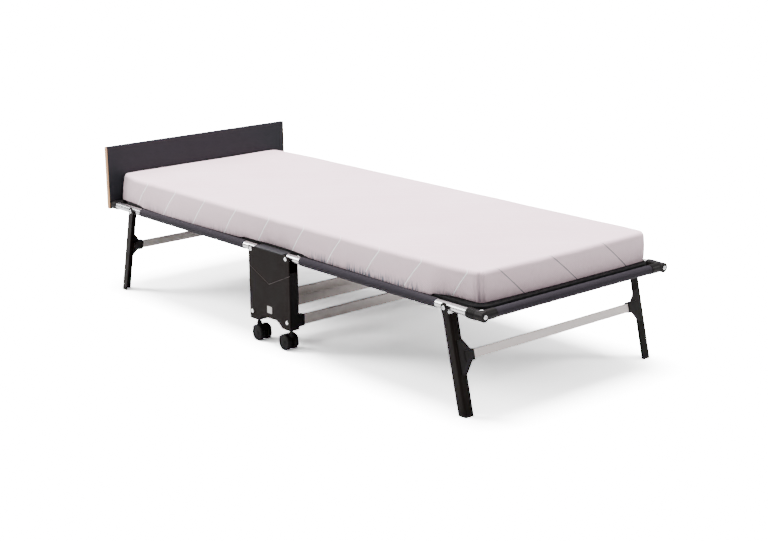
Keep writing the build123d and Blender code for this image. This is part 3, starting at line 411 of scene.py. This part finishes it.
def graded(low, high, pitch, edge, edge_pitch, ends=(True, True)):
    """Values from low to high, closer together near the ends asked for."""
    first = low + edge if ends[0] else low
    last = high - edge if ends[1] else high
    values = steps(first, last, pitch)
    if ends[0]:
        values = steps(low, first, edge_pitch)[:-1] + values
    if ends[1]:
        values = values[:-1] + steps(last, high, edge_pitch)
    return values


def box_surface(*axes):
    """Grid over a box's six faces with shared vertices, from its places along X, Y and Z."""
    index = {}
    faces = []
    for u, v, w in ((0, 1, 2), (1, 2, 0), (2, 0, 1)):
        low_side = (0, ((0, 0), (0, 1), (1, 1), (1, 0)))
        high_side = (len(axes[w]) - 1, ((0, 0), (1, 0), (1, 1), (0, 1)))
        for a, b in itertools.product(range(len(axes[u]) - 1), range(len(axes[v]) - 1)):
            for level, ring in (low_side, high_side):
                face = []
                for past_a, past_b in ring:
                    key = [0, 0, 0]
                    key[u], key[v], key[w] = a + past_a, b + past_b, level
                    face.append(index.setdefault(tuple(key), len(index)))
                faces.append(face)
    return np.array([[axis[i] for axis, i in zip(axes, key)] for key in index]), faces


def half_grid(end, low, high, zs, pitches, edge, edge_pitch):
    """Surface grid of the half of a box that lies on one side of the fold, finer near its outer edges.

    Returns its points, its faces, which points are in the cut at the fold and which of those are not on
    the cut's rim."""
    outer = high[0] if end > 0 else low[0]
    xs = graded(min(FOLD_X, outer), max(FOLD_X, outer), pitches[0], edge, edge_pitch, (end < 0, end > 0))
    ys = graded(low[1], high[1], pitches[1], edge, edge_pitch)
    grid, faces = box_surface(xs, ys, zs)
    cut = np.abs(grid[:, 0] - FOLD_X) < CLOSE
    off_rim = np.abs(grid[:, 1]) < high[1] - CLOSE
    off_rim &= (grid[:, 2] > low[2] + CLOSE) & (grid[:, 2] < high[2] - CLOSE)
    return grid, faces, cut, cut & off_rim


def round_box(points, low, high, plan_radius, top_radius, bottom_radius):
    """Points of a box surface moved on to a box with rounded corners in plan and rounded edges.

    Returns the moved points and their outward normals."""
    low, high = np.array(low), np.array(high)
    centre, half = (low + high) / 2, (high - low) / 2
    local = points - centre
    edge = np.where(local[:, 2:] > 0, top_radius, bottom_radius)
    core = half[:2] - plan_radius
    nearest = np.clip(local[:, :2], -core, core)
    away = local[:, :2] - nearest
    distance = np.linalg.norm(away, axis=1, keepdims=True)
    shrink = np.minimum(1.0, (plan_radius - edge) / np.maximum(distance, TINY))
    base = np.empty_like(local)
    base[:, :2] = nearest + away * shrink
    base[:, 2:] = np.clip(local[:, 2:], edge - half[2], half[2] - edge)
    out = local - base
    normals = out / np.maximum(np.linalg.norm(out, axis=1, keepdims=True), TINY)
    return centre + base + normals * edge, normals


def along_line(values, stops):
    """Values looked up on a line through (place, height) stops."""
    return np.interp(values, [place for place, _ in stops], [height for _, height in stops])


def share(values):
    """Values kept between 0 and 1."""
    return np.clip(values, 0, 1)


NOISE_SHIFT = (17.3, 5.1, 9.7)  # from one seed's noise to the next


def soft_noise(points, size, seed):
    """Smooth noise between about -1 and 1, with features of that size in metres."""
    shift = Vector([seed * step for step in NOISE_SHIFT])
    return np.array([noise.noise(Vector(p) / size + shift) for p in points])


# ---------------------------------------------------------------- mattress
MATTRESS_PLAN_R = 0.025
MATTRESS_TOP_R = 0.012
MATTRESS_BOTTOM_R = 0.002
MATTRESS_PITCHES = (0.006, 0.008, 0.005)  # of the grid along X, Y and Z
MATTRESS_EDGES = (0.06, 0.022)  # the grid is finer this near the edges, in plan and in height
MATTRESS_EDGE_PITCH = 0.0025
CUT_SHARES = (1, 0.86, 0.5)  # how far out the cut face's inner points lie, along X, Y and Z
CROWN = 0.0018
CROWN_RISE = 6  # the crown is full from a sixth of the half width inward
SIDE_BULGE = 0.0030
# Soft unevenness of the top, of the sides and of the gathered bottom edge: depth, size, scale along Z, seed
RIPPLES = ((0.0012, 0.16, 1, 1), (0.0012, 0.05, 0.4, 2), (0.0018, 0.014, 0.2, 3))
GATHER_HEIGHT = 0.35  # share of the height
# How far the cover's sides stand out from the solid, by distance from the fold centre
SIDE_BOTTOM = {
    "right": (
        (-0.96, -0.012), (-0.87, -0.008), (-0.785, 0.0015), (-0.61, 0.010), (-0.43, 0.006), (-0.22, 0.002),
        (-0.15, -0.003), (-0.05, -0.008), (0.03, -0.008), (0.13, -0.002), (0.18, 0.002), (0.44, 0.005),
        (0.63, 0.008), (0.735, 0.003), (0.765, -0.008), (0.79, -0.020), (0.83, -0.026), (0.92, -0.030),
    ),
    "left": (
        (-0.96, -0.012), (-0.75, 0.006), (-0.12, -0.010), (0, -0.020), (0.12, -0.010), (0.75, 0.006),
        (0.92, -0.004),
    ),
}
SIDE_TOP = {
    "right": (
        (-0.96, -0.026), (-0.85, -0.006), (-0.3, 0.0), (0.6, 0.0), (0.72, -0.006), (0.82, -0.012),
        (0.92, -0.026),
    ),
    "left": ((-0.96, -0.014), (-0.80, 0.0), (0.80, 0.0), (0.92, -0.008)),
}
SIDE_RISE = (1.15, 0.8)  # rate and power of the change from the bottom's line to the top's
SIDE_FADE = 3  # power by which the sides' lines fade out towards the middle of the width
# How far the foot's face stands back from the solid, across the mattress
FOOT_SET_BACK = ((-0.37, 0.012), (-0.25, 0.006), (-0.05, 0.0), (0.25, 0.0), (0.37, 0.004))
FOOT_FADE = 6  # power by which that fades out away from the foot
# Pleats at each corner: turn from the end face towards the side in degrees, depth and width in degrees
PLEATS = ((52, 0.0055, 9), (24, 0.0022, 7), (80, 0.0020, 8))
PLEATED_FROM = (0.85, 0.29)  # along and across the mattress
PLEATED_SIDES = 0.05  # only where the cover has turned this far from flat to upright
PLEAT_TOP = 1.3  # share of the height at which they would be gone; they are full up to 1 less
REST_GAP = 0.0004  # left at the deck's edge and over the sleeves
EDGE_DROP = 0.005  # below the deck's top, past its edge
EDGE_DROP_RUN = 0.0015  # from the deck's edge out to the full drop
EDGE_DROP_HEIGHT = 0.5  # share of the height at which there is no drop
SIDE_SHIFT = 0.15  # of the woven lines on the near side, against those on the top
TOP_LINE_FADE = 0.55  # the woven lines are that much weaker on the top
FOOT_LINE_SHADE = 1.3  # painted shade on the woven lines, by how far the cover faces the foot
# Painted shade in the gathers along the bottom edge: their reach up, how marked they are by the share that
# the cover faces sideways (rate and start), and how marked they are from head to foot
GATHERED_REACH = 0.026
GATHERED_TURN = (1.5, -0.5)
GATHERED_ALONG = ((-0.8, 0.3), (0.1, 0.35), (0.25, 1.0), (0.75, 1.0), (0.86, 0.2))


def woven_phase(points, normals):
    """Count of woven lines at each point, with the cover unfolded from its sides on to the top's plane."""
    angle = np.arccos(share(normals[:, 2]))
    drop = MATTRESS_HIGH[2] - points[:, 2]
    extra = MATTRESS_TOP_R * (angle - np.sin(angle)) + np.maximum(0, drop - MATTRESS_TOP_R)
    flat = normals[:, :2] / np.maximum(np.linalg.norm(normals[:, :2], axis=1, keepdims=True), TINY)
    unfolded = points[:, :2] + flat * np.abs(flat) * extra[:, None]
    phase = (unfolded[:, 0] - FOLD_X) / LINE_STEP[0] - unfolded[:, 1] / LINE_STEP[1] + LINE_PHASE
    return phase - SIDE_SHIFT * share(-normals[:, 1])


def draw_in(points, x, height):
    """Draws the sides in at the ends and over the pods, and sets the foot's face back, in place."""
    rate, power = SIDE_RISE
    for side_name, side in SIDES.items():
        bottom = along_line(x, SIDE_BOTTOM[side_name])
        upper = along_line(x, SIDE_TOP[side_name])
        spread = bottom + (upper - bottom) * share(height * rate) ** power
        fade = (np.abs(points[:, 1]) / MATTRESS_HIGH[1]) ** SIDE_FADE
        points[:, 1] += np.where(points[:, 1] * side > 0, side * spread * fade, 0)
    fade = share(x / (MATTRESS_HIGH[0] - FOLD_X)) ** FOOT_FADE
    points[:, 0] -= along_line(points[:, 1], FOOT_SET_BACK) * fade


def pleats(points, x, normals, sides, height):
    """Depth of the corners' pleats at each point, and how much painted shade they get there."""
    turn = np.degrees(np.arctan2(np.abs(normals[:, 1]), np.abs(normals[:, 0])))
    corner = (np.abs(x) > PLEATED_FROM[0]) & (np.abs(points[:, 1]) > PLEATED_FROM[1])
    fade = sides * (corner & (sides > PLEATED_SIDES)) * share(PLEAT_TOP - height)
    depths = [depth * fade * np.exp(-(((turn - centre) / width) ** 2)) for centre, depth, width in PLEATS]
    return sum(depths), np.maximum.reduce(depths) / PLEATS[0][1]


def rest(points, height):
    """Lays the cover on the deck, in place. Past the deck its edge sinks a little, on to the sleeves."""
    past_deck = share((np.abs(points[:, 1]) - DECK_HIGH[1] - REST_GAP) / EDGE_DROP_RUN)
    from_sleeve = np.abs(points[:, 1]) - SLEEVE_Y
    sleeve_top = SLEEVE_Z + np.sqrt(np.maximum(0, SLEEVE_R**2 - from_sleeve**2)) + REST_GAP
    support = np.where(past_deck > 0, sleeve_top, MATTRESS_LOW[2])
    lowest = np.maximum(MATTRESS_LOW[2] - EDGE_DROP * past_deck, support)
    sunk = points[:, 2] - EDGE_DROP * past_deck * (1 - share(height / EDGE_DROP_HEIGHT))
    points[:, 2] = np.maximum(sunk, lowest)


def mattress_half(end_name):
    """Half of the mattress's cover. Both halves take the whole one's form, so they meet at the cut."""
    edge, upright_edge = MATTRESS_EDGES
    grid, faces, cut, inside = half_grid(
        ENDS[end_name],
        MATTRESS_LOW,
        MATTRESS_HIGH,
        graded(MATTRESS_LOW[2], MATTRESS_HIGH[2], MATTRESS_PITCHES[2], upright_edge, MATTRESS_EDGE_PITCH),
        MATTRESS_PITCHES,
        edge,
        MATTRESS_EDGE_PITCH,
    )
    points, normals = round_box(
        grid, MATTRESS_LOW, MATTRESS_HIGH, MATTRESS_PLAN_R, MATTRESS_TOP_R, MATTRESS_BOTTOM_R
    )
    centre = np.array([FOLD_X, 0, (MATTRESS_LOW[2] + MATTRESS_HIGH[2]) / 2])
    points[inside] = centre + (grid[inside] - centre) * CUT_SHARES
    normals[inside] = 0

    phase = woven_phase(points, normals)
    top = share(normals[:, 2])
    sides = 1 - np.abs(normals[:, 2])
    sides[inside] = 0
    height = (points[:, 2] - MATTRESS_LOW[2]) / (MATTRESS_HIGH[2] - MATTRESS_LOW[2])
    x = points[:, 0] - FOLD_X
    draw_in(points, x, height)

    inward = share(1 - np.abs(points[:, 1]) / MATTRESS_HIGH[1])
    move = CROWN * top * np.minimum(1, inward * CROWN_RISE)
    move += SIDE_BULGE * sides * np.sin(np.pi * share(height))
    gather = sides * share(1 - height / GATHER_HEIGHT)
    for where, (depth, size, upright, seed) in zip((top, sides, gather), RIPPLES):
        move += depth * where * soft_noise(points * [1, 1, upright], size, seed)
    pleat, creased = pleats(points, x, normals, sides, height)
    points = points + normals * (move - pleat)[:, None]
    rest(points, height)

    piece = make_piece(f"mattress_cover_{end_name}", points, faces, PAINTS["mattress"])
    mesh = piece.data
    marks = {
        "woven_phase": phase,
        "line_strength": share(1 - TOP_LINE_FADE * top),
        "line_dark": share(normals[:, 0] * FOOT_LINE_SHADE),
        "gathered": share(1 - (points[:, 2] - MATTRESS_LOW[2]) / GATHERED_REACH)
        * share(np.abs(normals[:, 1]) * GATHERED_TURN[0] + GATHERED_TURN[1])
        * along_line(x, GATHERED_ALONG),
        "creased": creased,
    }
    for name, values in marks.items():
        mark = mesh.attributes.new(name, "FLOAT", "POINT")
        mark.data.foreach_set("value", values.astype(np.float32))
    sharp = mesh.attributes.new("sharp_edge", "BOOLEAN", "EDGE")
    edge_ends = np.array([edge.vertices[:] for edge in mesh.edges])
    sharp.data.foreach_set("value", cut[edge_ends].all(axis=1))
    return piece


for end_name, end in ENDS.items():
    cover = mattress_half(end_name)
    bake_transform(cover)
    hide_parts(f"mattress_{end_name}", "mattress_middle")

# ---------------------------------------------------------------- deck
DECK_PLAN_R = 0.045
DECK_EDGE_R = 0.004
DECK_PITCHES = (0.012, 0.02, 0.0015)  # of the grid along X, Y and Z
DECK_EDGE = 0.048  # the grid is finer this near the edges in plan
DECK_EDGE_PITCH = 0.003
DECK_RIPPLE = (0.0008, 0.04, 5)  # depth, size and seed, along its sides
DECK_SHARP = 60  # degrees
POD_CLEARANCE = 0.007
DECK_NECK = 0.99  # share of its width, between the pods


def deck_half(end_name):
    """Half of the deck's bound fabric, drawn in between the pods."""
    grid, faces, _, inside = half_grid(
        ENDS[end_name],
        DECK_LOW,
        DECK_HIGH,
        steps(DECK_LOW[2], DECK_HIGH[2], DECK_PITCHES[2]),
        DECK_PITCHES,
        DECK_EDGE,
        DECK_EDGE_PITCH,
    )
    points, normals = round_box(grid, DECK_LOW, DECK_HIGH, DECK_PLAN_R, DECK_EDGE_R, DECK_EDGE_R)
    points[inside] = grid[inside]
    sides = (1 - np.abs(normals[:, 2])) * ~inside
    depth, size, seed = DECK_RIPPLE
    points += normals * (depth * sides * soft_noise(points, size, seed))[:, None]
    beside_pods = np.abs(points[:, 0] - FOLD_X) < POD_HALF + POD_CLEARANCE
    points[beside_pods, 1] *= DECK_NECK
    return make_piece(f"deck_cover_{end_name}", points, faces, PAINTS["deck"], DECK_SHARP)


for end_name, end in ENDS.items():
    cover = deck_half(end_name)
    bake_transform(cover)
    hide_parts(f"deck_{end_name}", "deck_middle")

# ---------------------------------------------------------------- studio
FLOOR_HALF = 30.0
FLOOR_ALBEDO = (0.62, 0.62, 0.62)
# The floor is lit up like a studio sweep, without lighting the cot: distance and brightness
FLOOR_SHOWN = ((2.5, 5.5), (9.0, 22.0))
# Bright overhead and dimmer towards the horizon, like a softbox ceiling: height and strength
SKY_LIGHT = ((0.0, 0.12), (0.8, 0.85))
SKY_SHOWN = 16.0  # seen directly it is an even white backdrop

corners = [(x * FLOOR_HALF, y * FLOOR_HALF, 0) for x, y in ((-1, -1), (1, -1), (1, 1), (-1, 1))]
floor_mesh = bpy.data.meshes.new("floor")
floor_mesh.from_pydata(corners, [], [(0, 1, 2, 3)])
floor = bpy.data.objects.new("floor", floor_mesh)
bpy.context.scene.collection.objects.link(floor)
floor_paint = Paint("floor_paint", FLOOR_ALBEDO, 0.9)
floor_paint.lit_for_camera(*FLOOR_SHOWN)
floor_mesh.materials.append(floor_paint.material)


def studio_sky():
    """World of white light, even where the camera sees it and graded where it lights the cot."""
    world = bpy.data.worlds.new("studio")
    world.use_nodes = True
    nodes, link = world.node_tree.nodes, world.node_tree.links.new
    direction = nodes.new("ShaderNodeTexCoord")
    parts = nodes.new("ShaderNodeSeparateXYZ")
    strength = nodes.new("ShaderNodeMapRange")
    (low, dim), (high, bright) = SKY_LIGHT
    for key, number in (("From Min", low), ("From Max", high), ("To Min", dim), ("To Max", bright)):
        strength.inputs[key].default_value = number
    link(direction.outputs["Generated"], parts.inputs["Vector"])
    link(parts.outputs["Z"], strength.inputs["Value"])
    seen = nodes.new("ShaderNodeMix")
    seen.inputs["B"].default_value = SKY_SHOWN
    link(nodes.new("ShaderNodeLightPath").outputs["Is Camera Ray"], seen.inputs["Factor"])
    link(strength.outputs["Result"], seen.inputs["A"])
    link(seen.outputs["Result"], nodes["Background"].inputs["Strength"])
    nodes["Background"].inputs["Color"].default_value = (1.0, 1.0, 1.0, 1)
    bpy.context.scene.world = world


def area_light(name, place, aim, size, power):
    """Round softbox of that diameter in metres and power in watts, turned to its aim."""
    data = bpy.data.lights.new(name, "AREA")
    data.shape = "DISK"
    data.size = size
    data.energy = power
    light = bpy.data.objects.new(name, data)
    bpy.context.scene.collection.objects.link(light)
    light.location = place
    light.rotation_euler = (Vector(aim) - Vector(place)).to_track_quat("-Z", "Y").to_euler()


studio_sky()
area_light("key", (-3.3, -2.5, 2.6), (-0.4, 0, 0.2), size=2.0, power=190)
area_light("right", (2.6, 2.4, 1.5), (0.9, 0.4, 0.3), size=1.0, power=34)
area_light("top", (-0.3, 0.3, 5.0), (0, 0, 0.3), size=3.4, power=900)

# ---------------------------------------------------------------- camera
CAMERA_PLACE = Vector((3.85860 + FOLD_X, -3.24510, 1.54910))
CAMERA_YAW, CAMERA_PITCH, CAMERA_ROLL = (math.radians(a) for a in (49.197, 15.231, -0.567))
CAMERA_FOCAL = 1537.90  # in pixels of the photograph
FRAME_WIDTH = 768  # of the photograph, in pixels
SENSOR_WIDTH = 36.0
CAMERA_SIGHT = 100.0

forward = Vector(
    (
        -math.sin(CAMERA_YAW) * math.cos(CAMERA_PITCH),
        math.cos(CAMERA_YAW) * math.cos(CAMERA_PITCH),
        -math.sin(CAMERA_PITCH),
    )
)
level_right = Vector((math.cos(CAMERA_YAW), math.sin(CAMERA_YAW), 0))
level_up = level_right.cross(forward)
right = level_right * math.cos(CAMERA_ROLL) + level_up * math.sin(CAMERA_ROLL)
up = -level_right * math.sin(CAMERA_ROLL) + level_up * math.cos(CAMERA_ROLL)
camera_data = bpy.data.cameras.new("camera")
camera_data.sensor_width = SENSOR_WIDTH
camera_data.lens = CAMERA_FOCAL / FRAME_WIDTH * SENSOR_WIDTH
camera_data.clip_end = CAMERA_SIGHT
camera = bpy.data.objects.new("camera", camera_data)
bpy.context.scene.collection.objects.link(camera)
camera.matrix_world = Matrix.Translation(CAMERA_PLACE) @ Matrix((right, up, -forward)).transposed().to_4x4()
bpy.context.scene.camera = camera
